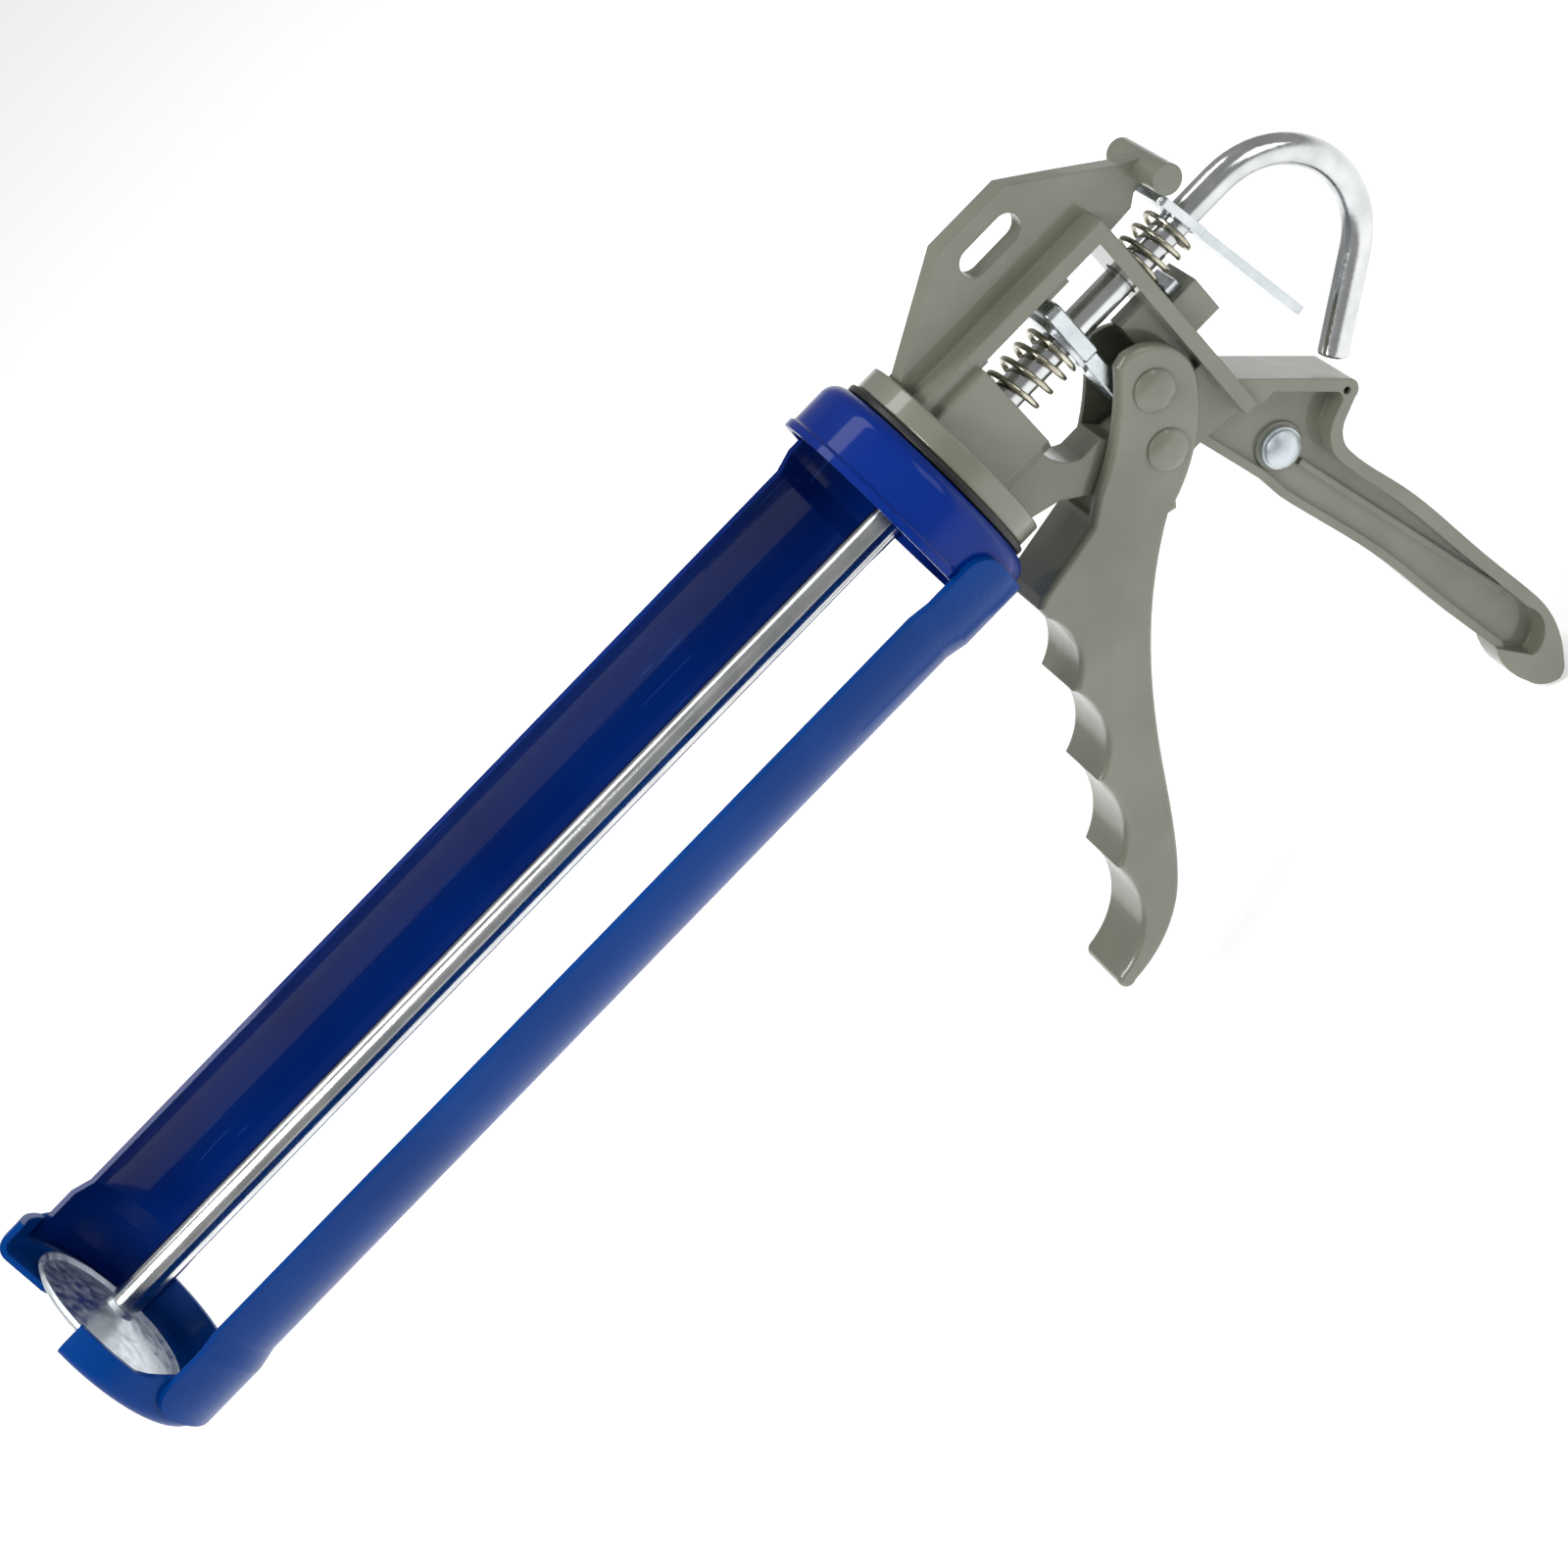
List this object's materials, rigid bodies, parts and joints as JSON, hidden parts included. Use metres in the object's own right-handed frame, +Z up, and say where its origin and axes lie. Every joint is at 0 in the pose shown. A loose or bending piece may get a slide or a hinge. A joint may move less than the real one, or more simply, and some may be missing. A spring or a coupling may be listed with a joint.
{
  "type": "caulking gun",
  "caption": "Skeleton caulking gun: turning sheet-metal cradle with slotted nose, hooked push rod with plunger disc, cast frame with finger-grooved trigger and thumb release plate.",
  "frame": {"origin": "middle of the hand grip, on the gun's middle plane, 100 mm below the push rod's axis", "axes": "+X rearward along the push rod, from the nose to the rod's hook; +Y to the left when seen from behind the gun's right; +Z up, square to the rod"},
  "size_m": [0.371, 0.0603, 0.199],
  "materials": {
    "casting_paint": "olive-grey gloss paint on a die-cast alloy",
    "blue_paint": "deep blue gloss paint on sheet steel",
    "zinc_steel": "bright zinc plating",
    "spring_steel": "zinc-plated spring wire, slightly yellow",
    "black_ring": "black moulded plastic"
  },
  "bodies": {
    "frame": {"frame_body": "casting_paint", "friction_ring": "black_ring", "thrust_washer": "zinc_steel", "retaining_ring": "spring_steel", "catch_stop": "zinc_steel", "handle_pin": "zinc_steel", "handle_pin_washers": "zinc_steel", "return_spring": "spring_steel", "catch_spring": "spring_steel"},
    "cradle": {"cradle_collar": "blue_paint", "cradle_trough": "blue_paint", "cradle_rail": "blue_paint", "cradle_nose": "blue_paint"},
    "plunger": {"plunger_disc": "zinc_steel", "plunger_washer": "zinc_steel"},
    "rod": {"push_rod": "zinc_steel"},
    "drive": {"drive_plate": "zinc_steel", "drive_washer": "zinc_steel"},
    "catch": {"catch_plate": "zinc_steel"},
    "trigger": {"trigger": "casting_paint", "trigger_pivot_pin": "zinc_steel", "trigger_push_pin": "zinc_steel"}
  },
  "joints": [
    {"name": "cradle_turn", "type": "hinge", "parent": "frame", "child": "cradle", "pos_m": [-0.083, 0, 0.1], "axis": [1, 0, 0], "continuous": true},
    {"name": "trigger_pull", "type": "hinge", "parent": "frame", "child": "trigger", "pos_m": [-0.0288, 0, 0.0667], "axis": [0, -1, 0], "range_deg": [0, 38], "stiffness_Nm_per_rad": 0.35, "springref_deg": -6.88},
    {"name": "drive_slide", "type": "slide", "parent": "frame", "child": "drive", "axis": [-1, 0, 0], "range_m": [0, 0.0096], "deforming": ["return_spring"]},
    {"name": "catch_tilt", "type": "hinge", "parent": "frame", "child": "catch", "pos_m": [0.0057, 0, 0.1121], "axis": [0, 1, 0], "range_deg": [0, 9], "stiffness_Nm_per_rad": 0.25, "springref_deg": -8.59, "deforming": ["catch_spring"]},
    {"name": "rod_slide", "type": "slide", "parent": "frame", "child": "plunger", "axis": [1, 0, 0], "range_m": [0, 0.238]},
    {"name": "rod_turn", "type": "hinge", "parent": "plunger", "child": "rod", "pos_m": [-0.319, 0, 0.1], "axis": [1, 0, 0], "continuous": true}
  ],
  "couplings": [
    {"joint": "drive_slide", "follows": "trigger_pull", "m_per_rad": 0.01435}
  ]
}
